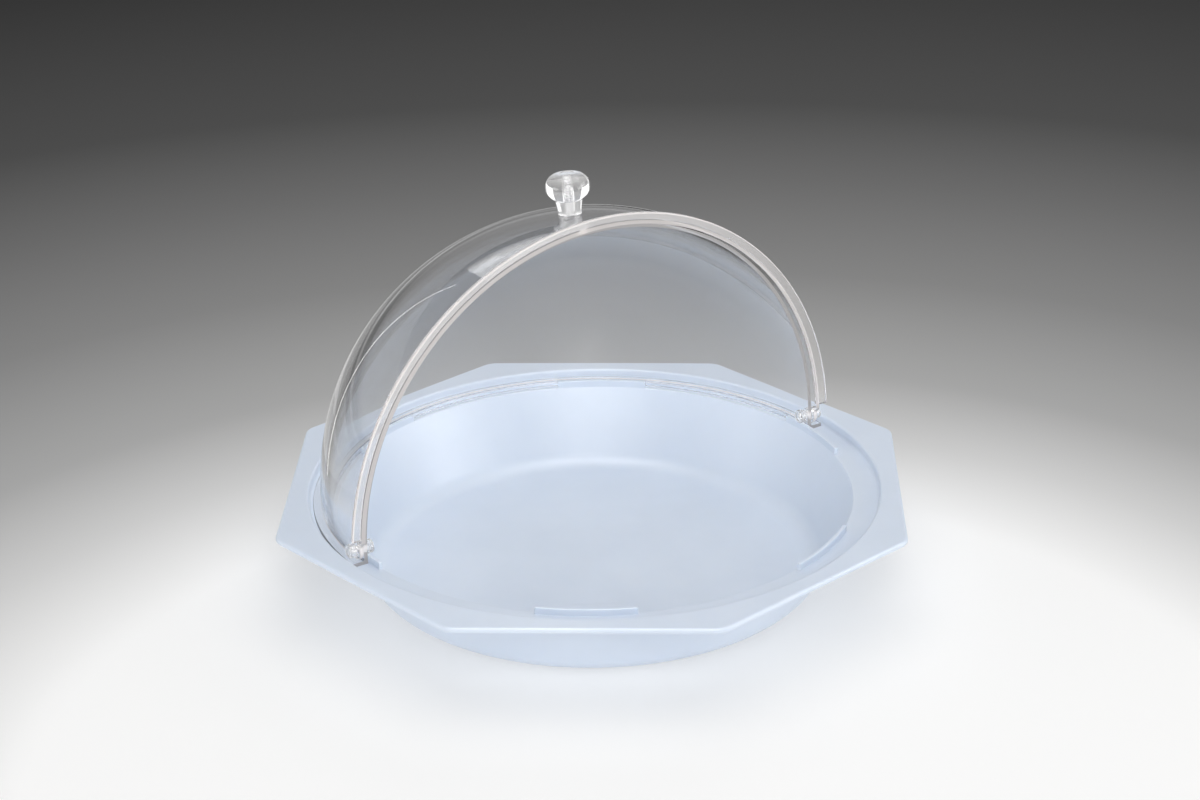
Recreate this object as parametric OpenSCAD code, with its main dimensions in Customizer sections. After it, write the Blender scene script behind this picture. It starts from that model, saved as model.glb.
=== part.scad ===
// Roll-top food cover on an octagonal serving tray.
// The origin is the centre of the tray's underside, +Z up. The roll-top's
// pivot axis runs along X and the cover opens towards -Y.

/* [Tray] */
// Width of the octagonal flange across its flats
tray_across = 400; // [390:1:440]
// Height of the tray from its underside to the top of the flange
tray_h = 60; // [50:1:80]
// Wall thickness of the bowl and the seat
tray_wall = 3; // [2:0.5:4]
// Thickness of the flange
flange_t = 4; // [3:0.5:5]
// Radius of the flange's eight corners
corner_r = 12; // [6:1:20]
// Radius of the flat underside that the tray stands on
foot_r = 136; // [110:1:140]
// Radius of the round between the underside and the bowl's wall
foot_round = 18; // [10:1:24]
// Depth of the round seat below the top of the flange
seat_depth = 6.7; // [5.5:0.1:9]
// Turn of the tray under the cover, in degrees
tray_turn = 35.3; // [0:0.1:45]

/* [Lips] */
// Number of raised lips on the seat's inner edge
lip_count = 6; // [3:1:8]
// Length of each lip, in degrees
lip_arc = 21; // [10:1:30]
// Height of each lip above the seat
lip_h = 4.6; // [3:0.1:4.6]
// Thickness of each lip
lip_t = 2.4; // [1.5:0.1:3]

/* [Shells] */
// Outer radius of the rolling shell
shell_r = 179.5; // [170:0.5:179.5]
// Wall thickness of both shells
shell_t = 2.5; // [2:0.1:3]
// Gap between the two shells
shell_gap = 1.2; // [1:0.1:1.6]
// Height of the pivot axis above the seat
pivot_rise = 9.5; // [9.5:0.1:12]
// How far the fixed shell's arch stands in front of the pivot axis
rear_front = 4.5; // [3.5:0.1:6]
// How far the fixed shell's foot stands out in the seat
foot_out = 8.7; // [6:0.1:9]
// How far the rim stands out from the rolling shell
rim_out = 6.5; // [4:0.1:6.5]
// How far the rim's outside is set down, which narrows it at the top
rim_drop = 1.8; // [0:0.1:2]
// Thickness of the rim
rim_t = 3; // [2:0.1:4]
// Height of the rim's lower ends above the pivot axis
rim_end = 10; // [9:0.5:16]

/* [Pivots] */
// Radius of the pivot pins
pin_r = 2.5; // [2:0.1:3]
// Radius of the pin heads, washers and caps
pin_head_r = 4.6; // [4:0.1:4.6]
// Thickness of the pin heads
pin_head_t = 3.7; // [2:0.1:5]
// Thickness of the washers under the pin heads
pin_washer_t = 1.5; // [1:0.1:2]
// Length of the caps outside the cover
pin_cap_t = 4.6; // [3:0.1:4.8]

/* [Knob] */
// Tilt of the knob behind the top of the open cover, in degrees
knob_tilt = 7.7; // [5:0.1:15]
// Height of the knob above the rolling shell
knob_h = 26.6; // [24:0.1:32]
// Radius of the knob's head
knob_r = 14.3; // [12.5:0.1:17]
// Radius of the knob's stem
stem_r = 7.8; // [7:0.1:9]
// Height of the stem below the head
stem_h = 9; // [8:0.5:10]
// Radius of the screw in the knob
screw_r = 2.45; // [2:0.05:2.5]
// Depth of the screw in the knob
screw_depth = 21; // [12:0.5:21]

/* [Hidden] */
$fn = 96;

tray_blue = [0.80, 0.86, 0.94];
clear_shell = [0.86, 0.90, 0.93, 0.35];
clear_part = [0.93, 0.94, 0.95, 0.6];

// Heights
seat_z = tray_h - seat_depth;
pivot_z = seat_z + pivot_rise;

// Radii of the two shells, from the outside in
roll_out = shell_r;
roll_in = roll_out - shell_t;
rear_out = roll_in - shell_gap;
rear_in = rear_out - shell_t;
rim_r = roll_out + rim_out;

// The fixed shell's foot, turned out of the same sheet, just off the seat
stand_gap = 0.02;
stand_z = stand_gap - pivot_rise;
foot_ring_r = rear_out + foot_out;

// The rolling shell's front edge off the seat, its lower edge off the foot,
// and the height where the front edge steps back to pass the foot
roll_edge = pivot_rise - 0.3;
roll_low = pivot_rise - shell_t - 0.5;
step_z = rear_front + 1;

// Seat, lips and bowl follow the shells
seat_r = max(rim_r + 1, foot_ring_r + 2.5);
lip_out = sqrt(rear_in * rear_in - pivot_rise * pivot_rise) - 0.8;
lip_in = lip_out - lip_t;
mouth_r = lip_in - 0.3;

// Bowl wall: the line from the mouth that touches the round at the foot
inner_round = foot_round - tray_wall;
wall_dx = mouth_r - foot_r;
wall_dz = seat_z - foot_round;
wall_phi = atan2(wall_dz, wall_dx)
         - acos(inner_round / sqrt(wall_dx * wall_dx + wall_dz * wall_dz));
wall_nrm = [cos(wall_phi), sin(wall_phi)];
wall_dir = [-sin(wall_phi), cos(wall_phi)];
foot_c = [foot_r, foot_round];
touch_out = foot_c + foot_round * wall_nrm;
touch_in = foot_c + inner_round * wall_nrm;
under_z = seat_z - tray_wall;
under_p = touch_out + wall_dir * ((under_z - touch_out[1]) / wall_dir[1]);

// Flange outline
apothem = tray_across / 2;
corner_d = (apothem - corner_r) / cos(22.5);

big = 3 * shell_r;

// Regular octagon with round corners, flats square to X and Y
module octagon() {
    polygon([for (i = [0:7]) for (s = [-1, 1])
        let (a = 22.5 + 45 * i, b = a + 22.5 * s)
        [corner_d * cos(a) + corner_r * cos(b),
         corner_d * sin(a) + corner_r * sin(b)]]);
    for (i = [0:7]) rotate(22.5 + 45 * i) translate([corner_d, 0]) circle(r = corner_r);
}

// Half section of the tray's outside
module bowl_outside() {
    polygon([[0, 0], [foot_r, 0], foot_c, touch_out, under_p,
             [seat_r + tray_wall, under_z], [seat_r + tray_wall, tray_h - 1], [0, tray_h - 1]]);
    translate(foot_c) circle(r = foot_round);
}

// Half section of the tray's hollow
module bowl_inside() {
    polygon([[0, tray_wall], [foot_r, tray_wall], foot_c, touch_in, [mouth_r, seat_z],
             [seat_r, seat_z], [seat_r, tray_h + 1], [0, tray_h + 1]]);
    intersection() {
        translate(foot_c) circle(r = inner_round);
        translate([0, tray_wall]) square([foot_r + foot_round, tray_h]);
    }
}

module right_half(profile_r) {
    intersection() {
        children();
        square([profile_r, profile_r]);
    }
}

module tray() {
    color(tray_blue) rotate(-tray_turn) {
        difference() {
            union() {
                rotate_extrude() right_half(apothem) bowl_outside();
                translate([0, 0, tray_h - flange_t]) linear_extrude(height = flange_t) octagon();
            }
            rotate_extrude() right_half(apothem) bowl_inside();
        }
        for (i = [0:lip_count - 1])
            rotate(-90 - lip_arc / 2 + i * 360 / lip_count)
                translate([0, 0, seat_z - 0.5])
                    rotate_extrude(angle = lip_arc)
                        translate([lip_in, 0]) square([lip_t, lip_h + 0.5]);
    }
}

// Cylinder along the pivot axis, from x0 to x1 on the right-hand side
module along_x(r, x0, x1) {
    translate([x0, 0, 0]) rotate([0, 90, 0]) cylinder(r = r, h = x1 - x0);
}

// Everything behind y0 and above z0
module quarter(y0, z0) {
    translate([-big / 2, y0, z0]) cube([big, big, big]);
}

module rear_shell() {
    color(clear_shell) translate([0, 0, pivot_z]) difference() {
        intersection() {
            union() {
                sphere(r = rear_out);
                translate([0, 0, stand_z]) cylinder(r = foot_ring_r, h = shell_t);
            }
            quarter(-rear_front, stand_z);
        }
        sphere(r = rear_in);
        along_x(pin_r + 0.02, -big / 2, big / 2);
    }
}

module knob_frame() {
    translate([0, 0, pivot_z]) rotate([-knob_tilt, 0, 0]) children();
}

csk_r = screw_r + 1.9;

module rolling_shell() {
    color(clear_shell) difference() {
        translate([0, 0, pivot_z]) difference() {
            union() {
                intersection() {
                    sphere(r = roll_out);
                    union() {
                        quarter(0, -roll_low);
                        quarter(-roll_low, 0);
                        quarter(-roll_edge, step_z);
                        along_x(roll_low, -big / 2, big / 2);
                    }
                }
                intersection() {
                    translate([0, rim_t - roll_edge, 0]) rotate([90, 0, 0])
                        difference() {
                            translate([0, -rim_drop, 0]) cylinder(r = rim_r, h = rim_t);
                            translate([0, 0, -1]) cylinder(r = roll_out - shell_t / 2, h = rim_t + 2);
                        }
                    translate([-big / 2, -big / 2, rim_end]) cube([big, big, big]);
                }
            }
            sphere(r = roll_in);
            along_x(pin_r + 0.08, -big / 2, big / 2);
        }
        knob_frame() {
            translate([0, 0, roll_in - 1]) cylinder(r = screw_r + 0.1, h = shell_t + 3);
            translate([0, 0, roll_in - 0.1]) cylinder(r1 = csk_r + 0.3, r2 = screw_r + 0.1, h = 2.1);
        }
    }
}

// Pivot pin on the right-hand side, head inside
module pivot_pin() {
    head_x = rear_in - 0.1 - pin_washer_t;
    translate([0, 0, pivot_z]) {
        along_x(pin_r, head_x - 0.5, roll_out + 0.35 + pin_cap_t - 1.4);
        translate([head_x - pin_head_t, 0, 0]) rotate([0, 90, 0]) rotate_extrude() {
            square([pin_head_r - 1, pin_head_t]);
            translate([0, 1]) square([pin_head_r, pin_head_t - 1]);
            translate([pin_head_r - 1, 1]) circle(r = 1);
        }
    }
}

module pin_washer() {
    translate([0, 0, pivot_z]) difference() {
        along_x(pin_head_r - 0.6, rear_in - 0.1 - pin_washer_t, rear_in - 0.1);
        along_x(pin_r + 0.03, rear_in - 10, rear_in + 1);
    }
}

module spacer() {
    translate([0, 0, pivot_z]) difference() {
        along_x(pin_head_r, rear_out + 0.02, rear_out + shell_gap - 0.4);
        along_x(pin_r + 0.03, rear_out - 1, roll_in + 1);
    }
}

module pin_cap() {
    cap_x = roll_out + 0.35;
    translate([0, 0, pivot_z]) difference() {
        translate([cap_x, 0, 0]) rotate([0, 90, 0]) rotate_extrude() {
            square([pin_head_r - 1.2, pin_cap_t]);
            square([pin_head_r, pin_cap_t - 1.2]);
            translate([pin_head_r - 1.2, pin_cap_t - 1.2]) circle(r = 1.2);
        }
        along_x(pin_r + 0.03, cap_x - 1, cap_x + pin_cap_t - 1.35);
    }
}

module left_pivot_pin() { color(clear_part) mirror([1, 0, 0]) pivot_pin(); }
module right_pivot_pin() { color(clear_part) pivot_pin(); }
module left_pin_washer() { color(clear_part) mirror([1, 0, 0]) pin_washer(); }
module right_pin_washer() { color(clear_part) pin_washer(); }
module left_spacer() { color(clear_part) mirror([1, 0, 0]) spacer(); }
module right_spacer() { color(clear_part) spacer(); }
module left_pin_cap() { color(clear_part) mirror([1, 0, 0]) pin_cap(); }
module right_pin_cap() { color(clear_part) pin_cap(); }

// Half section of the knob: stem, flared neck and rounded head
module knob_section() {
    head_h = knob_h - stem_h;
    head_round = head_h / 2;
    square([stem_r, stem_h + 2]);
    translate([0, stem_h]) square([knob_r - head_round, head_h]);
    translate([knob_r - head_round, stem_h + head_round]) circle(r = head_round);
    polygon([[0, stem_h - 2], [stem_r, stem_h - 2], [stem_r + 1.6, stem_h], [stem_r + 1.6, stem_h + 1], [0, stem_h + 1]]);
}

module knob() {
    color(clear_part) difference() {
        knob_frame() translate([0, 0, roll_out]) difference() {
            translate([0, 0, -0.4]) union() {
                rotate_extrude() right_half(2 * knob_h) translate([0, 0.4]) knob_section();
                cylinder(r = stem_r, h = 2);
            }
            translate([0, 0, -1]) cylinder(r = screw_r + 0.05, h = screw_depth + 1.8);
        }
        translate([0, 0, pivot_z]) sphere(r = roll_out + 0.02);
    }
}

module knob_screw() {
    color("silver") knob_frame() difference() {
        union() {
            translate([0, 0, roll_in + 0.1]) cylinder(r1 = csk_r, r2 = screw_r, h = 1.8);
            translate([0, 0, roll_in + 0.6]) cylinder(r = screw_r, h = shell_t - 0.6 + screw_depth);
        }
        for (a = [0, 90]) rotate(a)
            translate([-2, -0.45, roll_in - 1]) cube([4, 0.9, 2.2]);
    }
}

tray();
rear_shell();
rolling_shell();
left_pivot_pin();
right_pivot_pin();
left_pin_washer();
right_pin_washer();
left_spacer();
right_spacer();
left_pin_cap();
right_pin_cap();
knob();
knob_screw();
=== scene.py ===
"""Looks of a clear roll-top food cover on a pale blue octagonal tray.

All lengths below are in millimetres in the part's own frame and are turned
into metres where a mesh is made.
"""
import math

import bmesh
import bpy
from mathutils import Matrix, Vector


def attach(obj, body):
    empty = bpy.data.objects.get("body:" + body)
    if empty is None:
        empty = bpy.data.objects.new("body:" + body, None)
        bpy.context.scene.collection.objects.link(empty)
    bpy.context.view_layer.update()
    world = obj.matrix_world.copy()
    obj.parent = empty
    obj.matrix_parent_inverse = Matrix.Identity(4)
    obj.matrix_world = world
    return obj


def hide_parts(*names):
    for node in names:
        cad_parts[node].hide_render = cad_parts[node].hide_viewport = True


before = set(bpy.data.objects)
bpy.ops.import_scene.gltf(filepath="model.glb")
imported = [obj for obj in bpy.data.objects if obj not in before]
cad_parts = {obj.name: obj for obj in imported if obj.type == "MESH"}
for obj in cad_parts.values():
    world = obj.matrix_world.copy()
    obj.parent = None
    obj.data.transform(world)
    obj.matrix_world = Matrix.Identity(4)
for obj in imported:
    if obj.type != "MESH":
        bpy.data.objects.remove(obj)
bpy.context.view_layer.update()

MM = 0.001

# ---------------------------------------------------------------- sizes
TRAY_H, TRAY_WALL, FLANGE_T = 60.0, 3.0, 4.0
APOTHEM, CORNER_R = 200.0, 12.0
CORNER_D = (APOTHEM - CORNER_R) / math.cos(math.pi / 8)
FOOT_R, FOOT_ROUND = 136.0, 18.0
SEAT_Z, SEAT_R = 53.3, 187.0
TRAY_TURN = 35.3
LIP_COUNT, LIP_ARC, LIP_H, LIP_T = 6, 21.0, 4.6, 2.4
PIVOT_RISE = 9.5
PIVOT_Z = SEAT_Z + PIVOT_RISE
ROLL_OUT, ROLL_IN = 179.5, 177.0
REAR_OUT, REAR_IN = 175.8, 173.3
REAR_FRONT, ROLL_EDGE = 4.5, 9.2
ROLL_LOW, STEP_TOP, STEP_LOW = 6.5, 7.4, 4.3
RIM_R, RIM_T, RIM_DROP = 186.0, 3.0, 1.8
FOOT_RING, FOOT_T, FOOT_LOW = REAR_OUT + 8.7, 2.5, 0.02 - PIVOT_RISE
PIN_R, PIN_HEAD_R, PIN_HEAD_T, PIN_WASHER_T, PIN_CAP_T = 2.5, 4.6, 3.7, 1.5, 4.6
KNOB_TILT, KNOB_H, KNOB_R, STEM_R, STEM_H = 7.7, 26.6, 14.3, 7.8, 9.0
SCREW_R, SCREW_DEPTH = 2.45, 21.0
LIP_OUT = math.sqrt(REAR_IN**2 - PIVOT_RISE**2) - 0.8
LIP_IN = LIP_OUT - LIP_T
MOUTH_R = LIP_IN - 0.3


# ---------------------------------------------------------------- mesh tools
def fillet(points, radii, closed=False, step=12.0):
    """The polyline with each corner rounded to its radius."""
    out = []
    n = len(points)
    for i, (p, r) in enumerate(zip(points, radii)):
        if r <= 0 or (not closed and i in (0, n - 1)):
            out.append(p)
            continue
        a, b = points[i - 1], points[(i + 1) % n]
        u = Vector((a[0] - p[0], a[1] - p[1]))
        v = Vector((b[0] - p[0], b[1] - p[1]))
        lu, lv = u.length, v.length
        u, v = u / lu, v / lv
        turn = math.pi - u.angle(v)
        if turn < 1e-4:
            out.append(p)
            continue
        d = min(r * math.tan(turn / 2), 0.495 * lu, 0.495 * lv)
        rr = d / math.tan(turn / 2)
        mid = (u + v).normalized()
        c = Vector(p) + mid * (rr / math.cos(turn / 2))
        s = Vector(p) + u * d - c
        sign = 1.0 if (u.x * v.y - u.y * v.x) < 0 else -1.0
        k = max(2, int(math.ceil(math.degrees(turn) / step)))
        for j in range(k + 1):
            t = sign * turn * j / k
            out.append(
                (
                    c.x + s.x * math.cos(t) - s.y * math.sin(t),
                    c.y + s.x * math.sin(t) + s.y * math.cos(t),
                )
            )
    return out


def arc(cx, cy, r, a0, a1, n):
    """Points on a circle from angle a0 to a1, in degrees."""
    return [
        (
            cx + r * math.cos(math.radians(a0 + (a1 - a0) * i / n)),
            cy + r * math.sin(math.radians(a0 + (a1 - a0) * i / n)),
        )
        for i in range(n + 1)
    ]


def lathe(profile, n, place, closed=False):
    """Turns a half section (r, h) round its axis; place maps (x, y, h) to the frame."""
    verts, faces, rings = [], [], []
    for r, h in profile:
        if r < 1e-6:
            rings.append([len(verts)] * n)
            verts.append(place(0.0, 0.0, h))
        else:
            rings.append(list(range(len(verts), len(verts) + n)))
            for k in range(n):
                t = 2 * math.pi * k / n
                verts.append(place(r * math.cos(t), r * math.sin(t), h))
    pairs = list(zip(rings, rings[1:]))
    if closed:
        pairs.append((rings[-1], rings[0]))
    for a, b in pairs:
        for k in range(n):
            q = (k + 1) % n
            f = []
            for i in (a[k], a[q], b[q], b[k]):
                if i not in f:
                    f.append(i)
            if len(f) > 2:
                faces.append(tuple(f))
    return verts, faces


def along_x(side):
    """Axis along X on the right (1) or left (-1), through the pivots."""
    return lambda x, y, h: (side * h, x, PIVOT_Z + y)


def knob_axis(x, y, h):
    """Height above the rolling shell's outside, on the knob's tilted axis."""
    t = math.radians(KNOB_TILT)
    z = ROLL_OUT + h
    return (x, y * math.cos(t) + z * math.sin(t), PIVOT_Z - y * math.sin(t) + z * math.cos(t))


def knob_height(p):
    t = math.radians(KNOB_TILT)
    return p[1] * math.sin(t) + (p[2] - PIVOT_Z) * math.cos(t) - ROLL_OUT


def knob_radius(p):
    t = math.radians(KNOB_TILT)
    return math.hypot(p[0], p[1] * math.cos(t) - (p[2] - PIVOT_Z) * math.sin(t))


def make(name, verts, faces, material, body, nodes=(), clear=False, sharp=None, second=()):
    """A mesh object of the part, in the frame, riding on its body. Faces named in second take the second material."""
    me = bpy.data.meshes.new(name)
    me.from_pydata([(x * MM, y * MM, z * MM) for x, y, z in verts], [], faces)
    for i in second:
        me.polygons[i].material_index = 1
    bm = bmesh.new()
    bm.from_mesh(me)
    bmesh.ops.delete(bm, geom=[v for v in bm.verts if not v.link_faces], context="VERTS")
    bmesh.ops.recalc_face_normals(bm, faces=bm.faces)
    for f in bm.faces:
        f.smooth = True
    bm.to_mesh(me)
    bm.free()
    me.validate()
    if sharp:
        me.set_sharp_from_angle(angle=math.radians(sharp))
    o = bpy.data.objects.new(name, me)
    bpy.context.scene.collection.objects.link(o)
    for m in material if isinstance(material, (list, tuple)) else [material]:
        me.materials.append(m)
    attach(o, body)
    if nodes:
        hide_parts(*nodes)
    if clear:
        o.visible_shadow = False
        o.visible_diffuse = False
    return o


def even_normals(o):
    w = o.modifiers.new("even_normals", "WEIGHTED_NORMAL")
    w.mode = "FACE_AREA"
    w.weight = 80
    w.keep_sharp = True


# ---------------------------------------------------------------- materials
def new_material(name):
    m = bpy.data.materials.new(name)
    m.use_nodes = True
    nt = m.node_tree
    nt.nodes.clear()
    out = nt.nodes.new("ShaderNodeOutputMaterial")
    bs = nt.nodes.new("ShaderNodeBsdfPrincipled")
    nt.links.new(bs.outputs["BSDF"], out.inputs["Surface"])
    return m, nt, bs


def noise(nt, scale, detail=3.0, rough=0.5, stretch=(1, 1, 1), turn=(0, 0, 0)):
    tc = nt.nodes.new("ShaderNodeTexCoord")
    mp = nt.nodes.new("ShaderNodeMapping")
    mp.inputs["Scale"].default_value = stretch
    mp.inputs["Rotation"].default_value = turn
    nz = nt.nodes.new("ShaderNodeTexNoise")
    nz.inputs["Scale"].default_value = scale
    nz.inputs["Detail"].default_value = detail
    nz.inputs["Roughness"].default_value = rough
    nt.links.new(tc.outputs["Object"], mp.inputs["Vector"])
    nt.links.new(mp.outputs["Vector"], nz.inputs["Vector"])
    return nz.outputs["Fac"]


def remap(nt, value, a, b, to_a, to_b):
    mr = nt.nodes.new("ShaderNodeMapRange")
    mr.inputs["From Min"].default_value = a
    mr.inputs["From Max"].default_value = b
    mr.inputs["To Min"].default_value = to_a
    mr.inputs["To Max"].default_value = to_b
    nt.links.new(value, mr.inputs["Value"])
    return mr.outputs["Result"]


def blend_colours(nt, value, a, b):
    mx = nt.nodes.new("ShaderNodeMix")
    mx.data_type = "RGBA"
    mx.inputs[6].default_value = (*a, 1)
    mx.inputs[7].default_value = (*b, 1)
    nt.links.new(value, mx.inputs[0])
    return mx.outputs[2]


def bump(nt, height, strength, distance, normal=None):
    b = nt.nodes.new("ShaderNodeBump")
    b.inputs["Strength"].default_value = strength
    b.inputs["Distance"].default_value = distance
    nt.links.new(height, b.inputs["Height"])
    if normal:
        nt.links.new(normal, b.inputs["Normal"])
    return b.outputs["Normal"]


def tray_plastic():
    m, nt, bs = new_material("tray_plastic")
    cloud = noise(nt, 11.0, 4.0, 0.55)
    nt.links.new(
        blend_colours(nt, remap(nt, cloud, 0.35, 0.65, 0, 1), (0.610, 0.680, 0.785), (0.650, 0.720, 0.822)),
        bs.inputs["Base Color"],
    )
    rub = noise(nt, 38.0, 2.0, 0.5)
    nt.links.new(remap(nt, rub, 0.3, 0.7, 0.29, 0.34), bs.inputs["Roughness"])
    grain = noise(nt, 1400.0, 2.0, 0.5)
    sink = noise(nt, 16.0, 2.0, 0.5)
    nt.links.new(
        bump(nt, grain, 0.05, 0.0002, bump(nt, sink, 0.06, 0.002)), bs.inputs["Normal"]
    )
    bs.inputs["IOR"].default_value = 1.49
    bs.inputs["Subsurface Weight"].default_value = 0.12
    bs.inputs["Subsurface Radius"].default_value = (0.6, 0.8, 1.0)
    bs.inputs["Subsurface Scale"].default_value = 0.003
    return m


def clear_plastic(name, tint=(0.99, 0.988, 0.987), low=0.003, high=0.022, wave=0.012, transmission=1.0):
    m, nt, bs = new_material(name)
    bs.inputs["Base Color"].default_value = (*tint, 1)
    bs.inputs["Transmission Weight"].default_value = transmission
    bs.inputs["IOR"].default_value = 1.49
    wiped = noise(nt, 13.0, 6.0, 0.6, stretch=(1, 1, 0.5))
    nt.links.new(remap(nt, wiped, 0.42, 0.72, low, high), bs.inputs["Roughness"])
    hair = noise(nt, 60.0, 3.0, 0.55, stretch=(12, 1, 1), turn=(0.3, 0.5, 0.9))
    swell = noise(nt, 7.0, 2.0, 0.5)
    nt.links.new(
        bump(nt, hair, 0.003, 0.0004, bump(nt, swell, wave, 0.002)), bs.inputs["Normal"]
    )
    return m


def edge_plastic(name, tint, low, high, transmission):
    """Clear plastic of a cut and polished edge, which scatters a little light."""
    m, nt, bs = new_material(name)
    bs.inputs["Base Color"].default_value = (*tint, 1)
    bs.inputs["Transmission Weight"].default_value = transmission
    bs.inputs["IOR"].default_value = 1.49
    buff = noise(nt, 90.0, 4.0, 0.6)
    nt.links.new(remap(nt, buff, 0.35, 0.7, low, high), bs.inputs["Roughness"])
    saw = noise(nt, 420.0, 2.0, 0.5)
    nt.links.new(bump(nt, saw, 0.012, 0.0002), bs.inputs["Normal"])
    return m


def rim_plastic(name, tint, painted_glow_tint, clear, painted_light_top_transmission, cut):
    """Clear plastic of the rim: see-through at its lower ends, hazier over the top as painted light, and whiter and
    less clear with a pink tint at the wall's cut edge and along the front corner as a painted glow of pink light.
    """
    m, nt, bs = new_material(name)
    bs.inputs["IOR"].default_value = 1.49
    tc = nt.nodes.new("ShaderNodeTexCoord")

    def vector(operation, value, other=None):
        v = nt.nodes.new("ShaderNodeVectorMath")
        v.operation = operation
        nt.links.new(value, v.inputs[0])
        if other:
            v.inputs[1].default_value = other
        return v.outputs["Value" if operation in ("DOT_PRODUCT", "LENGTH") else "Vector"]

    def number(operation, a, b):
        v = nt.nodes.new("ShaderNodeMath")
        v.operation = operation
        nt.links.new(a, v.inputs[0])
        nt.links.new(b, v.inputs[1])
        return v.outputs["Value"]

    def from_axis(height, plane=(1, 0, 1)):
        level = vector("SUBTRACT", tc.outputs["Object"], (0, 0, height * MM))
        return vector("LENGTH", vector("MULTIPLY", level, plane))

    # Painted light: the rim turns hazier towards its top, so the top looks lit as by light falling on it.
    painted_light_top_mask = remap(nt, vector("DOT_PRODUCT", tc.outputs["Object"], (-0.2, 0.0, 1.0)), 0.09, 0.21, 0, 1)
    hole = remap(nt, from_axis(PIVOT_Z, (0, 1, 1)), 0.0032, 0.0036, 0, 1)
    lean = vector("DOT_PRODUCT", tc.outputs["Object"], (0.0036, 0, 0))
    wall = number("MULTIPLY", hole, remap(nt, number("ADD", from_axis(PIVOT_Z), lean), 0.1792, 0.1799, 1, 0))
    corner = remap(nt, from_axis(PIVOT_Z - RIM_DROP), 0.1850, 0.1855, 0, 1)
    front = remap(nt, vector("DOT_PRODUCT", tc.outputs["Object"], (0, -1, 0)), 0.0080, 0.0086, 0, 1)
    # Painted glow: the wall's cut edge and the front corner are made whiter, less clear and pink-tinted, standing in
    # for pink light carried in the clear plastic.
    painted_glow_mask = number("MAXIMUM", wall, number("MULTIPLY", corner, front))
    nt.links.new(blend_colours(nt, painted_glow_mask, tint, painted_glow_tint), bs.inputs["Base Color"])
    see = nt.nodes.new("ShaderNodeMix")
    nt.links.new(painted_glow_mask, see.inputs[0])
    nt.links.new(remap(nt, painted_light_top_mask, 0, 1, clear, painted_light_top_transmission), see.inputs[2])
    # The lower transmission in cut belongs to the painted glow of the wall's edge and front corner.
    see.inputs[3].default_value = cut
    nt.links.new(see.outputs[0], bs.inputs["Transmission Weight"])
    buff = noise(nt, 90.0, 4.0, 0.6)
    nt.links.new(remap(nt, buff, 0.35, 0.7, 0.03, 0.08), bs.inputs["Roughness"])
    saw = noise(nt, 420.0, 2.0, 0.5)
    nt.links.new(bump(nt, saw, 0.012, 0.0002), bs.inputs["Normal"])
    return m


def screw_steel():
    m, nt, bs = new_material("screw_steel")
    turned = noise(nt, 500.0, 2.0, 0.5, stretch=(0.2, 0.2, 6))
    nt.links.new(
        blend_colours(nt, turned, (0.60, 0.60, 0.61), (0.78, 0.78, 0.79)), bs.inputs["Base Color"]
    )
    bs.inputs["Metallic"].default_value = 1.0
    nt.links.new(remap(nt, turned, 0.3, 0.7, 0.18, 0.34), bs.inputs["Roughness"])
    nt.links.new(bump(nt, turned, 0.08, 0.0001), bs.inputs["Normal"])
    return m


def floor_painted_light():
    m, nt, bs = new_material("floor_painted_light")
    tc = nt.nodes.new("ShaderNodeTexCoord")
    ln = nt.nodes.new("ShaderNodeVectorMath")
    ln.operation = "LENGTH"
    mp = nt.nodes.new("ShaderNodeMapping")
    mp.inputs["Location"].default_value = (0.115, 0.2365, 0.0)
    nt.links.new(tc.outputs["Object"], mp.inputs["Vector"])
    nt.links.new(mp.outputs["Vector"], ln.inputs[0])
    far = remap(nt, ln.outputs["Value"], 0.0, 2.0, 0.0, 1.0)
    # Painted pool of light: the floor is painted pale near the tray and darker further away, and the same ramp sets a
    # glow.
    steps = ((0.185, 1.0), (0.24, 0.68), (0.295, 0.43), (0.395, 0.262), (0.505, 0.17), (0.62, 0.088), (1.0, 0.03))
    for socket, share in (("Base Color", 0.66), ("Emission Color", 1.0)):
        rp = nt.nodes.new("ShaderNodeValToRGB")
        rp.color_ramp.interpolation = "LINEAR"
        el = rp.color_ramp.elements
        while len(el) < len(steps):
            el.new(0.5)
        for e, (place, grey) in zip(el, steps):
            e.position = place
            e.color = (grey * share, grey * share * 0.998, grey * share * 0.993, 1)
        nt.links.new(far, rp.inputs["Fac"])
        nt.links.new(rp.outputs["Color"], bs.inputs[socket])
    # Painted light: the floor glows with the ramp's colour, lifting the shadows round the tray though it is no lamp.
    bs.inputs["Emission Strength"].default_value = 0.33
    tooth = noise(nt, 600.0, 3.0, 0.5)
    nt.links.new(bump(nt, tooth, 0.05, 0.0003), bs.inputs["Normal"])
    bs.inputs["Roughness"].default_value = 0.8
    bs.inputs["Specular IOR Level"].default_value = 0.0
    return m


MAT_TRAY = tray_plastic()
MAT_SHELL = clear_plastic("clear_shell")
# The edge's pinkish tint is painted light: it stands in for pink light carried along the clear walls.
MAT_EDGE = edge_plastic("clear_edge", (0.985, 0.945, 0.935), 0.06, 0.12, 0.58)
# The rim's hazier top (0.70) is painted light, and its pink-tinted, less clear edges (0.36) are a painted glow.
MAT_RIM = rim_plastic("clear_rim", (0.985, 0.965, 0.955), (1.0, 0.945, 0.925), 0.93, 0.70, 0.36)
MAT_PART = edge_plastic("clear_part", (0.998, 0.996, 0.994), 0.008, 0.03, 0.88)
MAT_KNOB = edge_plastic("clear_knob", (0.998, 0.996, 0.994), 0.004, 0.02, 0.79)
MAT_STEM = edge_plastic("clear_stem", (0.998, 0.995, 0.992), 0.01, 0.04, 0.67)
MAT_SCREW = screw_steel()


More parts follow.
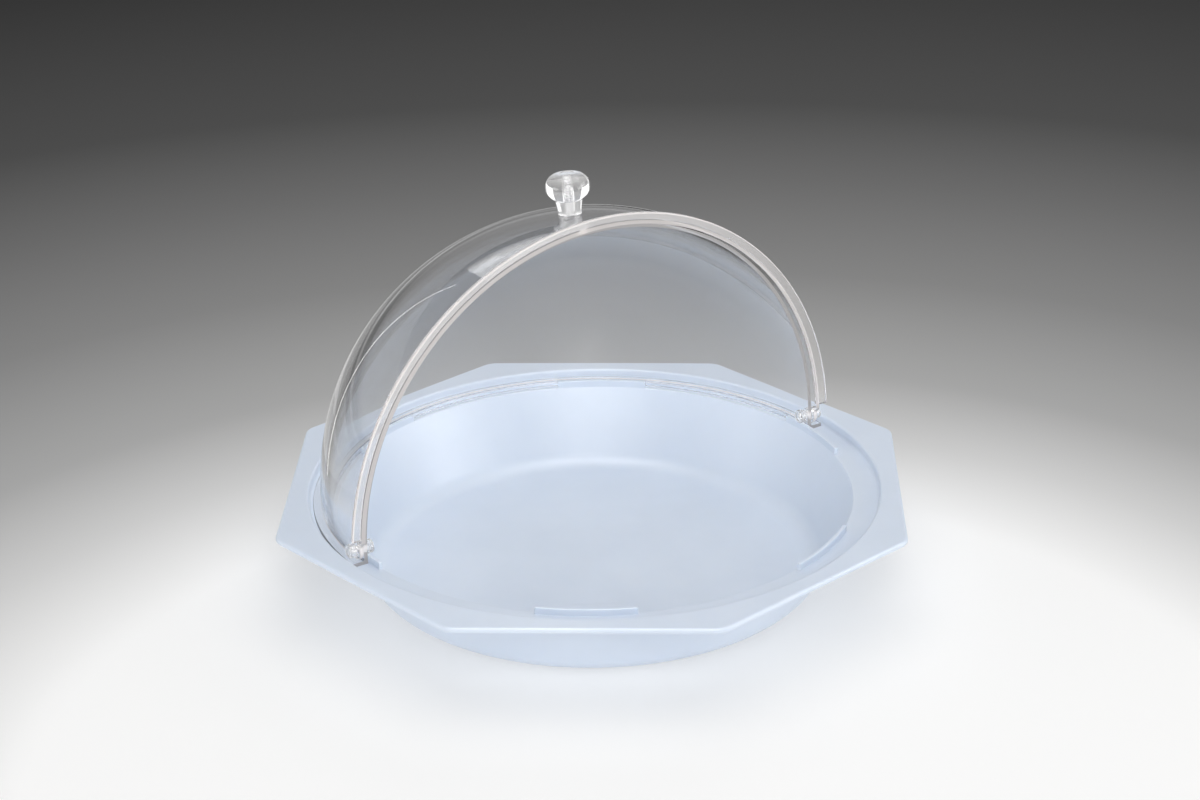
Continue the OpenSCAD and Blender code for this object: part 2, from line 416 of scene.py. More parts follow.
# ---------------------------------------------------------------- tray
def octagon_radius(phi, inset):
    """Distance from the centre to the rounded octagon, drawn in by inset."""
    t = abs((phi + math.pi / 8) % (math.pi / 4) - math.pi / 8)
    flat = APOTHEM - inset
    if flat * math.tan(t) <= CORNER_D * math.sin(math.pi / 8):
        return flat / math.cos(t)
    d = t - math.pi / 8
    return CORNER_D * math.cos(d) + math.sqrt((CORNER_R - inset) ** 2 - (CORNER_D * math.sin(d)) ** 2)


def tray_columns():
    """Directions of the tray's section lines with the lip's share at each, in degrees."""
    fine = {}
    step = 1.5
    for i in range(int(360 / step)):
        fine[round(i * step, 4)] = None
    for c in range(8):
        a = 22.5 + 45 * c
        for d in (-1.6, -1.23, -1.0, -0.75, -0.5, -0.25, 0, 0.25, 0.5, 0.75, 1.0, 1.23, 1.6):
            fine[round((a + d) % 360, 4)] = None
    ends = []
    rise = ((-0.9, 0.0), (-0.25, 0.0), (0.0, 0.02), (0.06, 0.72), (0.2, 0.89), (0.42, 0.97), (0.7, 1.0), (1.4, 1.0))
    for k in range(LIP_COUNT):
        c = -90 + 360 / LIP_COUNT * k
        for side in (-1, 1):
            for s, h in rise:
                ends.append(((c + side * (LIP_ARC / 2 - math.degrees(s / LIP_OUT))) % 360, h))
    keep = []
    for a in fine:
        if all(abs((a - b + 180) % 360 - 180) > 0.12 for b, _ in ends):
            inside = any(
                abs((a - (-90 + 360 / LIP_COUNT * k) + 180) % 360 - 180) < LIP_ARC / 2 for k in range(LIP_COUNT)
            )
            keep.append((a, 1.0 if inside else 0.0))
    return sorted(keep + ends)


def tray_section():
    """The section's points in order from the bowl's floor round to the underside.
    Each is ("r", r0, z0, r1, z1) without and with the lip, or ("o", inset, z) on the octagon."""
    dx, dz = MOUTH_R - FOOT_R, SEAT_Z - FOOT_ROUND
    r_in = FOOT_ROUND - TRAY_WALL
    phi = math.atan2(dz, dx) - math.acos(r_in / math.hypot(dx, dz))
    nx, nz = math.cos(phi), math.sin(phi)
    wx, wz = -nz, nx
    t_in = (FOOT_R + r_in * nx, FOOT_ROUND + r_in * nz)
    t_out = (FOOT_R + FOOT_ROUND * nx, FOOT_ROUND + FOOT_ROUND * nz)
    under_z = SEAT_Z - TRAY_WALL
    u_p = (t_out[0] + wx * (under_z - t_out[1]) / wz, under_z)
    pts = []

    def plain(r, z):
        pts.append(("r", r, z, r, z))

    for r in (0.0, 25.0, 50.0, 75.0, 98.0, 116.0, 128.0, 133.5):
        plain(r, TRAY_WALL)
    for r, z in arc(FOOT_R, FOOT_ROUND, r_in, -90, math.degrees(phi), 9):
        plain(r, z)
    length = (SEAT_Z - t_in[1]) / wz
    for k in range(1, 8):
        s = (length - 3.0) * k / 7
        plain(t_in[0] + wx * s, t_in[1] + wz * s)
    below = (t_in[0] + wx * (length - 3.0), t_in[1] + wz * (length - 3.0))
    mouth = (MOUTH_R, SEAT_Z)
    top = SEAT_Z + LIP_H
    b_pts = fillet(
        [below, (MOUTH_R + 0.12, SEAT_Z - 0.2), (LIP_IN, top), (LIP_OUT, top), (LIP_OUT, SEAT_Z), (LIP_OUT + 1.4, SEAT_Z)],
        [0, 1.6, 0.55, 0.55, 0.45, 0],
        step=18,
    )[1:]
    a_arc = fillet([below, mouth, (MOUTH_R + 4, SEAT_Z)], [0, 1.1, 0], step=13)[1:-1]
    rest = len(b_pts) - len(a_arc)
    end_r = LIP_OUT + 1.4
    a_pts = a_arc + [
        (a_arc[-1][0] + (end_r - a_arc[-1][0]) * (k + 1) / rest, SEAT_Z) for k in range(rest)
    ]
    for (r0, z0), (r1, z1) in zip(a_pts, b_pts):
        pts.append(("r", r0, z0, r1, z1))
    outer = fillet(
        [(end_r, SEAT_Z), (SEAT_R, SEAT_Z), (SEAT_R + 0.15, TRAY_H), (SEAT_R + 6, TRAY_H)], [0, 1.9, 1.7, 0], step=12
    )
    plain(end_r + 4.5, SEAT_Z)
    for r, z in outer[1:-1]:
        plain(r, z)
    plain(SEAT_R + 3.4, TRAY_H)
    edge = 1.75
    z0 = TRAY_H - FLANGE_T
    pts.append(("o", 5.0, TRAY_H))
    pts.append(("o", edge + 0.5, TRAY_H))
    for a in range(0, 91, 15):
        t = math.radians(a)
        pts.append(("o", edge * (1 - math.sin(t)), TRAY_H - edge * (1 - math.cos(t))))
    for a in range(0, 91, 15):
        t = math.radians(a)
        pts.append(("o", edge * (1 - math.cos(t)), z0 + edge * (1 - math.sin(t))))
    pts.append(("o", edge + 0.5, z0))
    pts.append(("o", 4.0, z0))
    lower = fillet(
        [(SEAT_R + TRAY_WALL + 4, z0), (SEAT_R + TRAY_WALL, z0), (SEAT_R + TRAY_WALL - 0.1, under_z), u_p, t_out],
        [0, 1.6, 2.6, 3.0, 0],
        step=13,
    )
    for r, z in lower[1:-1]:
        plain(r, z)
    for k in range(1, 7):
        s = k / 7
        plain(lower[-2][0] + (t_out[0] - lower[-2][0]) * s, lower[-2][1] + (t_out[1] - lower[-2][1]) * s)
    for r, z in arc(FOOT_R, FOOT_ROUND, FOOT_ROUND, math.degrees(phi), -90, 11):
        plain(r, z)
    for r in (133.5, 128.0, 116.0, 98.0, 75.0, 50.0, 25.0, 0.0):
        plain(r, 0.0)
    return pts


def build_tray():
    cols = tray_columns()
    sec = tray_section()
    n = len(cols)
    verts, rings = [], []
    for p in sec:
        if p[0] == "r" and p[1] < 1e-6:
            rings.append([len(verts)] * n)
            verts.append((0.0, 0.0, p[2]))
            continue
        rings.append(list(range(len(verts), len(verts) + n)))
        for deg, h in cols:
            a = math.radians(deg)
            if p[0] == "r":
                r, z = p[1] + (p[3] - p[1]) * h, p[2] + (p[4] - p[2]) * h
            else:
                r, z = octagon_radius(a, p[1]), p[2]
            b = a - math.radians(TRAY_TURN)
            verts.append((r * math.cos(b), r * math.sin(b), z))
    faces = []
    for a, b in zip(rings, rings[1:]):
        for k in range(n):
            q = (k + 1) % n
            f = []
            for i in (a[k], a[q], b[q], b[k]):
                if i not in f:
                    f.append(i)
            if len(f) > 2:
                faces.append(tuple(f))
    o = make("tray_moulding", verts, faces, MAT_TRAY, "tray", ["tray"])
    even_normals(o)
    return o


# ---------------------------------------------------------------- shells
EDGE = 0.4


class Net:
    """Points and faces of one piece, with the faces that take its second material."""

    def __init__(self):
        self.verts, self.faces, self.second = [], [], []

    def point(self, x, y, z):
        self.verts.append((x, y, PIVOT_Z + z))
        return len(self.verts) - 1

    def face(self, ids, second=False):
        out = []
        for i in ids:
            if i not in out:
                out.append(i)
        if len(out) > 2:
            if second:
                self.second.append(len(self.faces))
            self.faces.append(tuple(out))

    def strip(self, a, b, second=False, ring=False):
        """Faces between two lines with the same number of points."""
        n = len(a)
        for j in range(n if ring else n - 1):
            q = (j + 1) % n
            self.face((a[j], a[q], b[q], b[j]), second)


def on_sphere(r, y, z):
    return math.sqrt(max(r * r - y * y - z * z, 0.0))


class Shell:
    """A clear shell that stands behind the pivot axis: a section swept over the arch, with an ear round each pin hole."""

    EAR = 10.0

    def __init__(self, r_out, r_in, front, low_out, low_in, hole, rim=False, foot=False, bore=False):
        self.r_out, self.r_in, self.front, self.hole = r_out, r_in, front, hole
        self.low_out, self.low_in = low_out, low_in
        self.rim, self.foot, self.bore = rim, foot, bore
        self.skin_front = front - EDGE
        self.back_front = front - RIM_T - 0.5 if rim else self.skin_front
        self.net = Net()

    # One line of a shell's face, from its lower edge over the back to its front edge
    def line(self, r, rho, side, low, front, n_low, n_mid, n_front):
        w = min(1.0, max(0.0, (rho - self.EAR) / 30.0))
        pts = []
        for k in range(n_low):
            z = -low + low * k / n_low
            pts.append((math.sqrt(rho * rho - w * z * z), z))
        for k in range(n_mid):
            a = math.pi / 2 * k / n_mid
            pts.append((rho * math.cos(a), rho * math.sin(a)))
        for k in range(n_front + 1):
            y = -front * k / n_front
            pts.append((y, math.sqrt(rho * rho - w * y * y)))
        return [self.net.point(side * on_sphere(r, y, z), y, z) for y, z in pts]

    def round_edge(self):
        """The plain front edge as (distance from the axis of the arch, y), from the outer face to the inner one."""
        y0, e = -self.skin_front, EDGE
        so = math.sqrt(self.r_out**2 - y0 * y0) - e
        si = math.sqrt(self.r_in**2 - y0 * y0) + e
        pts = []
        for a in (30, 60, 90):
            t = math.radians(a)
            pts.append((so + e * math.cos(t), y0 - e * math.sin(t)))
        for a in (90, 60, 30):
            t = math.radians(a)
            pts.append((si - e * math.cos(t), y0 - e * math.sin(t)))
        return pts

    def rim_section(self, beta):
        """The rim's section from the outer face round to the plain edge's flat."""
        s1 = math.sqrt(RIM_R**2 - (RIM_DROP * math.cos(beta)) ** 2) - RIM_DROP * math.sin(beta)
        yb, yf = RIM_T - self.front, -self.front
        base = math.sqrt(self.r_out**2 - (yb + 0.5) ** 2)
        pts = fillet([(base, yb + 1.1), (base, yb), (s1, yb), (s1, yf), (base - 1, yf)], [0, 0.5, 0.7, 0.7, 0], step=18)
        return pts[2:-1]

    def foot_section(self):
        """The foot's section as (distance from the middle, z), from the inner face round to the outer one."""
        z0, z1 = FOOT_LOW, FOOT_LOW + FOOT_T
        ri = math.sqrt(self.r_in**2 - z0 * z0)
        ro = math.sqrt(self.r_out**2 - self.low_out**2)
        loop = fillet(
            [(ri, z0 + 1.2), (ri, z0), (FOOT_RING, z0), (FOOT_RING, z1), (ro, z1), (ro, z1 + 3.2)],
            [0, EDGE, 0.5, 0.5, 1.4, 0],
            step=22,
        )
        return loop[2:-1]

    def build(self):
        net, e = self.net, self.EAR
        arch = self.r_out
        th0 = math.asin(e / arch)
        steps, s = [0.0], 0.0
        for d in (1.2, 1.6, 2.0, 2.5, 3.0, 3.6, 4.2):
            s += d
            steps.append(s)
        total = arch * (math.pi / 2 - th0)
        n = int(math.ceil((total - s) / 4.5))
        steps += [s + (total - s) * k / n for k in range(1, n + 1)]
        share = [k / total for k in steps]
        spread = [(1, f) for f in share] + [(-1, f) for f in reversed(share[:-1])]
        n_low, n_mid, n_front = 4, 60, 4
        extra = 3 if self.rim else 0
        outer, inner, edges, lows = [], [], [], []
        for i, (side, f) in enumerate(spread):
            rho = []
            for r in (self.r_out, self.r_in):
                t0 = math.asin(e / r)
                rho.append(r * math.sin(t0 + (math.pi / 2 - t0) * f))
            o = self.line(self.r_out, rho[0], side, self.low_out, self.back_front, n_low, n_mid, n_front)
            k = self.line(self.r_in, rho[1], side, self.low_in, self.skin_front, n_low, n_mid, n_front + extra)
            x, y, z = net.verts[o[-1]]
            z -= PIVOT_Z
            end = i in (0, len(spread) - 1)
            beta = math.atan2(z, abs(x))
            plain = self.round_edge()
            sec = (self.rim_section(beta) + plain[2:]) if self.rim else plain
            ids = []
            for s1, y1 in sec:
                if end:
                    ids.append(net.point(side * math.sqrt(s1 * s1 - z * z), y1, z))
                else:
                    ids.append(net.point(side * s1 * math.cos(beta), y1, s1 * math.sin(beta)))
            outer.append(o)
            inner.append(k)
            edges.append(ids)
            x, y, z = net.verts[o[0]]
            phi = math.atan2(y, abs(x))
            ids = []
            if self.foot:
                for r1, z1 in self.foot_section():
                    ids.append(net.point(side * r1 * math.cos(phi), r1 * math.sin(phi), z1))
            else:
                c = EDGE
                zo = -self.low_out
                ri, ro = math.sqrt(self.r_in**2 - zo * zo) + c, math.sqrt(self.r_out**2 - zo * zo) - c
                for a in (30, 60, 90):
                    t = math.radians(a)
                    r1 = ri - c * math.cos(t)
                    ids.append(net.point(side * r1 * math.cos(phi), r1 * math.sin(phi), zo - c * math.sin(t)))
                for a in (90, 60, 30):
                    t = math.radians(a)
                    r1 = ro + c * math.cos(t)
                    ids.append(net.point(side * r1 * math.cos(phi), r1 * math.sin(phi), zo - c * math.sin(t)))
            lows.append(ids)
        mid = len(share) - 1
        gap = None
        if self.bore:
            c0 = n_low + int(round((90 - KNOB_TILT) / 90 * n_mid)) - 2
            gap = (mid - 2, mid + 2, c0, c0 + 4)
        for i in range(len(spread) - 1):
            for skin in (outer, inner):
                a, b = skin[i], skin[i + 1]
                for j in range(len(a) - 1):
                    if gap and gap[0] <= i < gap[1] and gap[2] <= j < gap[3]:
                        continue
                    net.face((a[j], a[j + 1], b[j + 1], b[j]))
            rows = [[outer[q][-1]] + edges[q] + [inner[q][-1]] for q in (i, i + 1)]
            net.strip(rows[0], rows[1], True)
            rows = [[inner[q][0]] + lows[q] + [outer[q][0]] for q in (i, i + 1)]
            net.strip(rows[0], rows[1], not self.foot)
        if gap:
            self.screw_hole(outer, inner, gap)
        for q, side in ((0, 1), (len(spread) - 1, -1)):
            self.ear(side, outer[q], inner[q], edges[q], lows[q], extra)
        return net

    def screw_hole(self, outer, inner, gap):
        """The countersunk hole for the knob's screw."""
        net = self.net
        i0, i1, j0, j1 = gap

        def loop(skin):
            ids = [skin[i0][j] for j in range(j0, j1)]
            ids += [skin[i][j1] for i in range(i0, i1)]
            ids += [skin[i1][j] for j in range(j1, j0, -1)]
            ids += [skin[i][j0] for i in range(i1, i0, -1)]
            return ids

        t = math.radians(KNOB_TILT)

        def angle(i):
            x, y, z = net.verts[i]
            z -= PIVOT_Z
            return math.atan2(y * math.cos(t) - z * math.sin(t), x)

        def circle(r, h, angles):
            ids = []
            for a in angles:
                x, y, z = knob_axis(r * math.cos(a), r * math.sin(a), h)
                ids.append(net.point(x, y, z - PIVOT_Z))
            return ids

        def level(radius, r):
            return math.sqrt(radius * radius - r * r) - ROLL_OUT

        rings = []
        small = SCREW_R + 0.1
        for skin, radius, r_edge in ((outer, self.r_out, small), (inner, self.r_in, SCREW_R + 2.4)):
            out = loop(skin)
            ang = [angle(i) for i in out]
            turn = []
            for k in range(len(out)):
                a, b = ang[k], ang[(k + 1) % len(out)]
                d = (b - a + math.pi) % (2 * math.pi) - math.pi
                turn += [a, a + d / 2]
            first = circle(6.4, level(radius, 6.4), turn)
            m = len(first)
            for k in range(len(out)):
                q = (k + 1) % len(out)
                net.face((out[k], out[q], first[(2 * k + 2) % m], first[2 * k + 1], first[2 * k]))
            last = circle(r_edge, level(radius, r_edge), turn)
            net.strip(first, last, False, True)
            rings.append((last, turn))
        (top, turn), (low, _) = rings
        neck = circle(small, -0.5, turn)
        net.strip(top, neck, True, True)
        net.strip(neck, low, True, True)

    def ear(self, side, o_row, i_row, edge, low, extra):
        """The end of the shell round the pin hole, with its own edge."""
        net, e = self.net, EDGE
        start_z = self.EAR

        def skin_point(r, y, z):
            return net.point(side * on_sphere(r, y, z), y, z)

        o_more = []
        if self.rim:
            a = self.back_front
            o_more = [skin_point(self.r_out, -(a + (self.skin_front - a) * k / extra), start_z) for k in range(1, extra + 1)]
            corner = o_more[-1]
            x = abs(net.verts[corner][0]) - e
            rounds = []
            for d in (30, 60):
                t = math.radians(d)
                rounds.append(net.point(side * (x + e * math.cos(t)), -self.skin_front - e * math.sin(t), start_z))
            f0 = edge[-4]
            net.face([o_row[-1]] + edge[:-3] + rounds[::-1] + o_more[::-1], True)
            first = [corner] + rounds + [f0] + edge[-3:] + [i_row[-1]]
        else:
            first = [o_row[-1]] + edge + [i_row[-1]]

        def section(qo, qi, nrm):
            """The rounded edge between the two faces at one place of the outline."""
            xo, xi = on_sphere(self.r_out, *qo) - e, on_sphere(self.r_in, *qi) + e
            ids = []
            for d in (30, 60, 90):
                t = math.radians(d)
                ids.append(
                    net.point(side * (xo + e * math.cos(t)), qo[0] + e * math.sin(t) * nrm[0], qo[1] + e * math.sin(t) * nrm[1])
                )
            for d in (90, 60, 30):
                t = math.radians(d)
                ids.append(
                    net.point(side * (xi - e * math.cos(t)), qi[0] + e * math.sin(t) * nrm[0], qi[1] + e * math.sin(t) * nrm[1])
                )
            return ids

        o_ring, i_ring = [], []
        if self.foot:
            y0 = -self.skin_front
            prev = first
            count = 9
            for k in range(1, count + 1):
                f = k / count
                qo = (y0, start_z + (-self.low_out - start_z) * f)
                qi = (y0, start_z + (-self.low_in - start_z) * f)
                ids = section(qo, qi, (-1, 0))
                a, b = skin_point(self.r_out, *qo), skin_point(self.r_in, *qi)
                o_ring.append(a)
                i_ring.append(b)
                row = [a] + ids + [b]
                net.strip(prev, row, True)
                prev = row
            end = prev
            loop = self.foot_section()
            ys = [y0, -2.4, -0.5, 1.5, 3.5, 5.5, 7.6]
            prev = None
            for k, y in enumerate(ys):
                if k:
                    a, b = skin_point(self.r_out, y, -self.low_out), skin_point(self.r_in, y, -self.low_in)
                    o_ring.append(a)
                    i_ring.append(b)
                else:
                    a, b = end[0], end[-1]
                yy = -self.front if k == 0 else y
                ids = [net.point(side * math.sqrt(r1 * r1 - yy * yy), yy, z1) for r1, z1 in loop]
                row = [b] + ids + [a]
                if k == 0:
                    net.face(row + end[1:-1], True)
                else:
                    net.strip(prev, row)
                prev = row
            net.strip(prev, [i_row[0]] + low + [o_row[0]])
        else:
            f, lo = self.front, self.low_out + e
            path = fillet(
                [(-f, start_z), (-f, STEP_TOP), (-lo, STEP_LOW), (-lo, 0.0)], [0, 0.9, 0.9, 0], step=15
            )
            path += arc(0, 0, lo, 180, 270, 14)[1:]
            path += [(2.5, -lo), (5.0, -lo), (7.5, -lo), (self.EAR, -lo)]
            prev = first
            for k in range(1, len(path) - 1):
                a, b = Vector(path[k - 1]), Vector(path[k + 1])
                d = (b - a).normalized()
                nrm = (d.y, -d.x)
                q = (path[k][0] - e * nrm[0], path[k][1] - e * nrm[1])
                ids = section(q, q, nrm)
                a, b = skin_point(self.r_out, *q), skin_point(self.r_in, *q)
                o_ring.append(a)
                i_ring.append(b)
                row = [a] + ids + [b]
                net.strip(prev, row, True)
                prev = row
            net.strip(prev, [o_row[0]] + low[::-1] + [i_row[0]], True)
        holes = []
        for r, ring in ((self.r_out, o_row + o_more + o_ring), (self.r_in, i_row + i_ring)):
            polar = []
            for i in ring:
                x, y, z = net.verts[i]
                z -= PIVOT_Z
                polar.append((math.hypot(y, z), math.atan2(z, y)))
            prev = ring
            for f in (0.22, 0.45, 0.68, 0.86, 1.0):
                row = []
                for rho, a in polar:
                    q = rho + (self.hole - rho) * f
                    row.append(skin_point(r, q * math.cos(a), q * math.sin(a)))
                net.strip(prev, row, False, True)
                prev = row
            holes.append(prev)
        net.strip(holes[0], holes[1], True, True)


def finish_shell(name, net, body, node, edge):
    o = make(name, net.verts, net.faces, [MAT_SHELL, edge], body, [node], clear=True, sharp=40, second=net.second)
    even_normals(o)
    return o


# ---------------------------------------------------------------- pivots
def build_pivots():
    head_x = REAR_IN - 0.1 - PIN_WASHER_T
    for side, word in ((-1, "left"), (1, "right")):
        place = along_x(side)
        tip = ROLL_OUT + 0.35 + PIN_CAP_T - 1.4
        h0, h1 = head_x - PIN_HEAD_T, head_x
        pin = fillet(
            [
                (0, h0 + 0.35), (2.4, h0 + 0.3), (3.0, h0), (PIN_HEAD_R, h0), (PIN_HEAD_R, h1), (PIN_R, h1),
                (PIN_R, tip), (0, tip),
            ],
            [0, 0.6, 0.3, 1.0, 0.5, 0.15, 0.4, 0],
            step=15,
        )
        v, f = lathe(pin, 64, place)
        o = make(word + "_pin", v, f, MAT_PART, "rear_cover", [word + "_pivot_pin"], clear=True)
        even_normals(o)
        w0, w1 = REAR_IN - 0.1 - PIN_WASHER_T + 0.01, REAR_IN - 0.1
        r0 = PIN_R + 0.03
        ring = fillet(
            [(r0, w0), (PIN_HEAD_R - 0.6, w0), (PIN_HEAD_R - 0.6, w1), (r0, w1)], [0.2, 0.45, 0.45, 0.2], closed=True, step=18
        )
        v, f = lathe(ring, 64, place, closed=True)
        o = make(word + "_washer", v, f, MAT_PART, "rear_cover", [word + "_pin_washer"], clear=True)
        even_normals(o)
        s0, s1 = REAR_OUT + 0.02, REAR_OUT + 0.8
        ring = fillet(
            [(r0, s0), (PIN_HEAD_R, s0), (PIN_HEAD_R, s1), (r0, s1)], [0.12, 0.25, 0.25, 0.12], closed=True, step=22
        )
        v, f = lathe(ring, 64, place, closed=True)
        o = make(word + "_ring", v, f, MAT_PART, "rear_cover", [word + "_spacer"], clear=True)
        even_normals(o)
        c0 = ROLL_OUT + 0.35
        c1 = c0 + PIN_CAP_T
        cap = fillet(
            [
                (0, c1 - 0.3), (2.2, c1 - 0.25), (2.8, c1), (PIN_HEAD_R, c1), (PIN_HEAD_R, c0), (r0, c0),
                (r0, c1 - 1.37), (0, c1 - 1.37),
            ],
            [0, 0.6, 0.3, 1.2, 0.5, 0.2, 0.3, 0],
            step=15,
        )
        v, f = lathe(cap, 64, place)
        o = make(word + "_cap", v, f, MAT_PART, "rear_cover", [word + "_pin_cap"], clear=True)
        even_normals(o)


# ---------------------------------------------------------------- knob
def build_knob():
    round_r = (KNOB_H - STEM_H) / 2
    cx, ch = KNOB_R - round_r, STEM_H + round_r

    def seat(r):
        return math.sqrt((ROLL_OUT + 0.03) ** 2 - r * r) - ROLL_OUT

    hole = SCREW_R + 0.05
    deep = SCREW_DEPTH + 0.8
    base = [(hole + 0.3, seat(hole + 0.3)), (4.5, seat(4.5)), (6.2, seat(6.2)), (STEM_R - 0.05, seat(STEM_R - 0.05))]
    stem = fillet(
        base[-2:] + [(STEM_R - 0.05, 0.9), (STEM_R - 0.3, 1.5), (8.75, 9.0), (9.55, 10.0)],
        [0, 0.45, 0.5, 0.6, 0.5, 0],
        step=12,
    )[1:-1]
    a0 = math.degrees(math.asin((10.05 - ch) / round_r))
    head = arc(cx, ch, round_r, a0, 84, 26)
    top = fillet([head[-1], (5.2, KNOB_H), (4.5, KNOB_H - 0.55), (0.0, KNOB_H - 0.75)], [0, 0.9, 0.7, 0], step=12)[1:]
    outer = base[:-1] + stem + head + top
    inner = fillet(
        [(0.0, deep + 1.2), (hole, deep), (hole, 0.4), (hole + 0.3, seat(hole + 0.3))], [0, 0.5, 0.2, 0], step=15
    )[:-1]
    profile = inner + outer
    v, f = lathe(profile, 96, knob_axis)
    wall = [
        i
        for i, q in enumerate(f)
        if all(0.5 < knob_height(v[k]) < 9.4 and knob_radius(v[k]) > STEM_R - 1 for k in q)
    ]
    o = make("knob_clear", v, f, [MAT_KNOB, MAT_STEM], "rolling_cover", ["knob"], clear=True, second=wall)
    even_normals(o)

    pitch, r0 = 0.8, SCREW_R
    low = ROLL_IN + 0.1 - ROLL_OUT
    prof = []
    for r, h in ((0.0, low), (2.0, low), (3.6, low), (4.2, low + 0.02), (4.35, low + 0.14), (2.62, low + 1.75), (2.3, low + 2.2)):
        prof.append((r, h, 0.0))
    h, end = low + 2.4, SCREW_DEPTH
    while h < end - 0.5:
        fade = min(1.0, (h - low - 2.4) / 0.8, (end - 0.5 - h) / 0.8)
        prof.append((r0, h, max(fade, 0.0)))
        h += pitch / 8
    prof += [(2.0, end - 0.45, 0.0), (1.6, end, 0.0), (0.0, end, 0.0)]
    n = 48
    verts, rings = [], []
    for r, h, fade in prof:
        if r < 1e-6:
            rings.append([len(verts)] * n)
            verts.append(knob_axis(0, 0, h))
            continue
        rings.append(list(range(len(verts), len(verts) + n)))
        for k in range(n):
            t = 2 * math.pi * k / n
            ph = ((h / pitch) - k / n) % 1.0
            cut = 0.46 * abs(2 * ph - 1) if fade > 0 else 0.0
            rr = r - (cut * fade + 0.2 * (1 - fade) if 0 < r == r0 else 0.0)
            verts.append(knob_axis(rr * math.cos(t), rr * math.sin(t), h))
    faces = []
    for a, b in zip(rings, rings[1:]):
        for k in range(n):
            q = (k + 1) % n
            fc = []
            for i in (a[k], a[q], b[q], b[k]):
                if i not in fc:
                    fc.append(i)
            if len(fc) > 2:
                faces.append(tuple(fc))
    make("knob_fixing", verts, faces, MAT_SCREW, "rolling_cover", ["knob_screw"], sharp=35)


build_tray()
finish_shell(
    "rear_dome",
    Shell(REAR_OUT, REAR_IN, REAR_FRONT, 5.4, -FOOT_LOW - EDGE, PIN_R + 0.12, foot=True).build(),
    "rear_cover",
    "rear_shell",
    MAT_EDGE,
)
finish_shell(
    "rolling_dome",
    Shell(ROLL_OUT, ROLL_IN, ROLL_EDGE, ROLL_LOW - EDGE, ROLL_LOW - EDGE, PIN_R + 0.16, rim=True, bore=True).build(),
    "rolling_cover",
    "rolling_shell",
    MAT_RIM,
)
build_pivots()
build_knob()

# ---------------------------------------------------------------- studio
VIEW = math.radians(-33.39)


def studio(right, away, up):
    """A point given to the right of, away from and above the object as the camera sees it, in metres."""
    return Vector(
        (
            right * math.cos(VIEW) - away * math.sin(VIEW),
            right * math.sin(VIEW) + away * math.cos(VIEW),
            up,
        )
    )


floor_me = bpy.data.meshes.new("floor")
grid = 24
size = 7.0
floor_me.from_pydata(
    [((i / grid - 0.5) * 2 * size, (j / grid - 0.5) * 2 * size, -0.0002) for j in range(grid + 1) for i in range(grid + 1)],
    [],
    [
        (j * (grid + 1) + i, j * (grid + 1) + i + 1, (j + 1) * (grid + 1) + i + 1, (j + 1) * (grid + 1) + i)
        for j in range(grid)
        for i in range(grid)
    ],
)
floor = bpy.data.objects.new("floor", floor_me)
bpy.context.scene.collection.objects.link(floor)
floor_me.materials.append(floor_painted_light())


def softbox(name, at, aim, wide, high, power, colour=(1, 1, 1)):
    li = bpy.data.lights.new(name, "AREA")
    li.shape = "RECTANGLE"
    li.size, li.size_y = wide, high
    li.energy = power
    li.color = colour
    o = bpy.data.objects.new(name, li)
    bpy.context.scene.collection.objects.link(o)
    o.location = at
    o.rotation_euler = (Vector(aim) - Vector(at)).to_track_quat("-Z", "Y").to_euler()
    o.visible_camera = False
    return o


mid = Vector((0, 0, 0.08))
softbox("front", studio(-0.1, -2.4, 0.85), mid, 2.4, 1.4, 22, (1.0, 0.99, 0.975))
softbox("key", studio(0.1, -1.7, 1.5), mid, 0.6, 0.6, 6)
softbox("top", studio(0.1, 0.1, 2.1), mid, 2.6, 2.4, 25)
softbox("right", studio(1.8, -0.7, 0.42), mid, 1.2, 0.8, 11)
softbox("left", studio(-1.8, -0.7, 0.32), mid, 1.2, 0.6, 10)
gleam = softbox("gleam", studio(1.6, 0.05, 0.55), mid, 1.0, 0.9, 8)
rear = softbox("rear", studio(0.5, 2.1, 1.3), mid, 1.6, 1.0, 9)
rear.visible_glossy = False
rear.visible_transmission = False
sheen = softbox("sheen", studio(-0.6, 1.25, 0.4), studio(-0.1, 0.0, 0.4), 6.0, 0.8, 7)
sheen.visible_transmission = False
low_sheens = [
    softbox("low_sheen", studio(-1.0, far, 0.004), studio(-1.0, far, 1.0), wide, wide * 0.75, power)
    for far, wide, power in ((0.4, 1.1, 1.0), (0.5, 1.45, 1.8), (0.6, 1.8, 2.7), (0.7, 2.2, 4.0))
]
for o in low_sheens:
    o.visible_transmission = False
canopy = softbox("canopy", studio(0.0, 2.2, 2.3), mid, 3.2, 1.8, 22)
wings = [softbox("wing", studio(d, 1.2, 0.5), Vector((0, 0, 0.2)), 1.4, 1.4, 12) for d in (-1.4, 1.4)]
fittings = bpy.data.collections.new("fittings")
for name in ["knob_clear"] + [side + "_" + piece for side in ("left", "right") for piece in ("pin", "washer", "ring", "cap")]:
    fittings.objects.link(bpy.data.objects[name])
for o in wings:
    o.light_linking.receiver_collection = fittings
brow = softbox("brow", studio(0.0, -0.5, 1.9), mid, 1.6, 1.2, 30)
moulding = bpy.data.collections.new("moulding")
moulding.objects.link(bpy.data.objects["tray_moulding"])
lips = softbox("lips", studio(0.2, -1.8, 1.4), mid, 0.8, 0.6, 3.2)
lips_right = softbox("lips_right", studio(1.5, -0.8, 1.1), mid, 0.8, 0.8, 2.6)
for o in (brow, lips, lips_right):
    o.light_linking.receiver_collection = moulding
    o.visible_transmission = False
for o in [canopy] + wings:
    o.visible_glossy = False
gleam.visible_transmission = False
for o in [brow, gleam, sheen, canopy] + wings + low_sheens:
    o.visible_diffuse = False


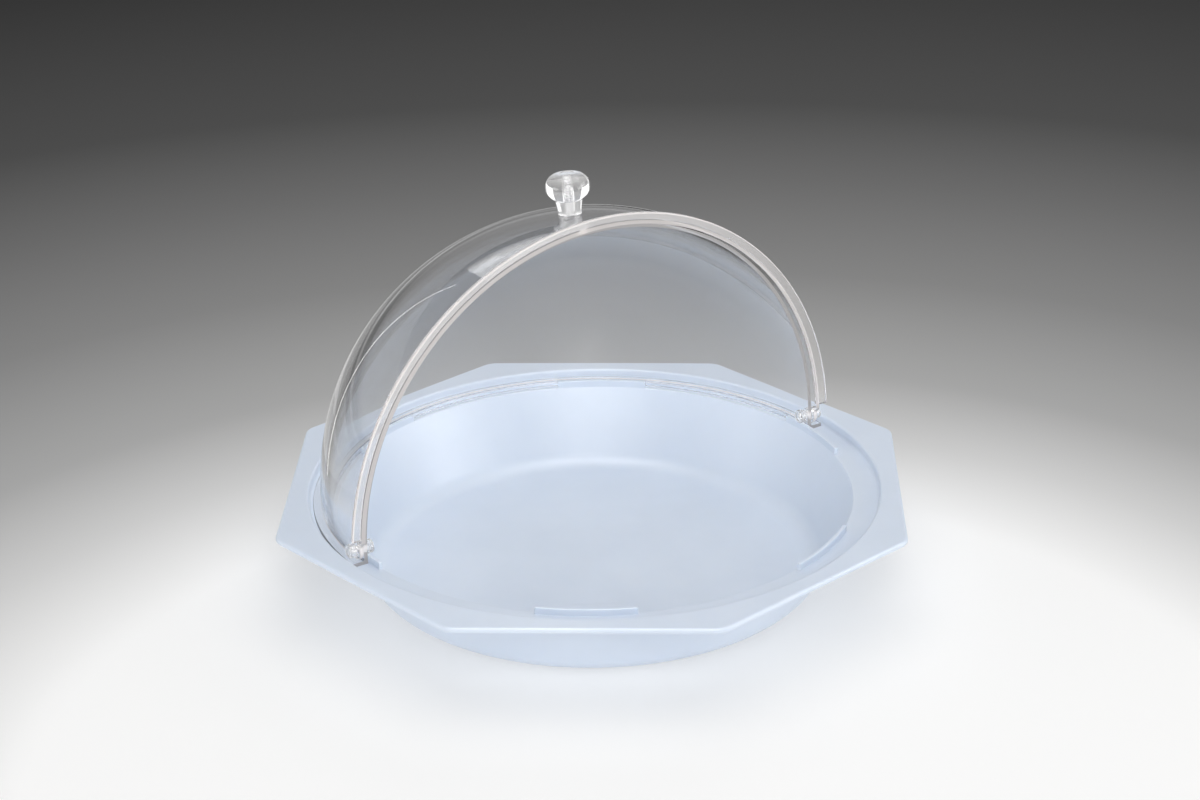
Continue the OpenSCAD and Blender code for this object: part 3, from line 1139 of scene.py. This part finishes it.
def around(azimuth, distance, height):
    a = math.radians(azimuth)
    return Vector((distance * math.cos(a), distance * math.sin(a), height))


def slat(name, low, top, aim, wide, power):
    """A narrow light between two points, turned to the aim."""
    at = (low + top) / 2
    o = softbox(name, at, aim, wide, (top - low).length, power)
    y = (top - low).normalized()
    z = at - aim
    z = (z - y * z.dot(y)).normalized()
    x = y.cross(z)
    o.rotation_euler = Matrix((x, y, z)).transposed().to_euler()
    return o


strip = slat("strip", around(122, 0.33, 0.004), around(107, 0.37, 0.40), around(115, 0.1, 0.18), 0.003, 0.016)
patch = softbox("patch", around(87, 1.25, 1.0), Vector((0, 0.1, 0.2)), 0.20, 0.10, 0.07)
for o in (strip, patch):
    o.visible_transmission = False
    o.visible_diffuse = False

world = bpy.data.worlds.new("studio_world")
world.use_nodes = True
world.node_tree.nodes["Background"].inputs["Color"].default_value = (0.16, 0.16, 0.163, 1)
world.node_tree.nodes["Background"].inputs["Strength"].default_value = 1.0
bpy.context.scene.world = world

# ---------------------------------------------------------------- camera
el, roll = math.radians(24.186), math.radians(-0.728)
back = Vector((0, -math.cos(el), math.sin(el)))
right, up = Vector((1, 0, 0)), Vector((0, math.sin(el), math.cos(el)))
r2 = math.cos(roll) * right + math.sin(roll) * up
u2 = -math.sin(roll) * right + math.cos(roll) * up
at = Vector((0.004298, 0.131236, 0.0)) + 1.987230 * back
turn = Matrix.Rotation(VIEW, 3, "Z")
at, r2, u2, back = turn @ at, turn @ r2, turn @ u2, turn @ back
at.z += 0.060
cam = bpy.data.cameras.new("camera")
cam.sensor_width = 36.0
cam.lens = 85.2537
cam.clip_end = 50
cam_o = bpy.data.objects.new("camera", cam)
bpy.context.scene.collection.objects.link(cam_o)
cam_o.matrix_world = Matrix(
    ((r2.x, u2.x, back.x, at.x), (r2.y, u2.y, back.y, at.y), (r2.z, u2.z, back.z, at.z), (0, 0, 0, 1))
)
bpy.context.scene.camera = cam_o
bpy.context.scene.view_settings.view_transform = "Standard"

bpy.context.view_layer.update()
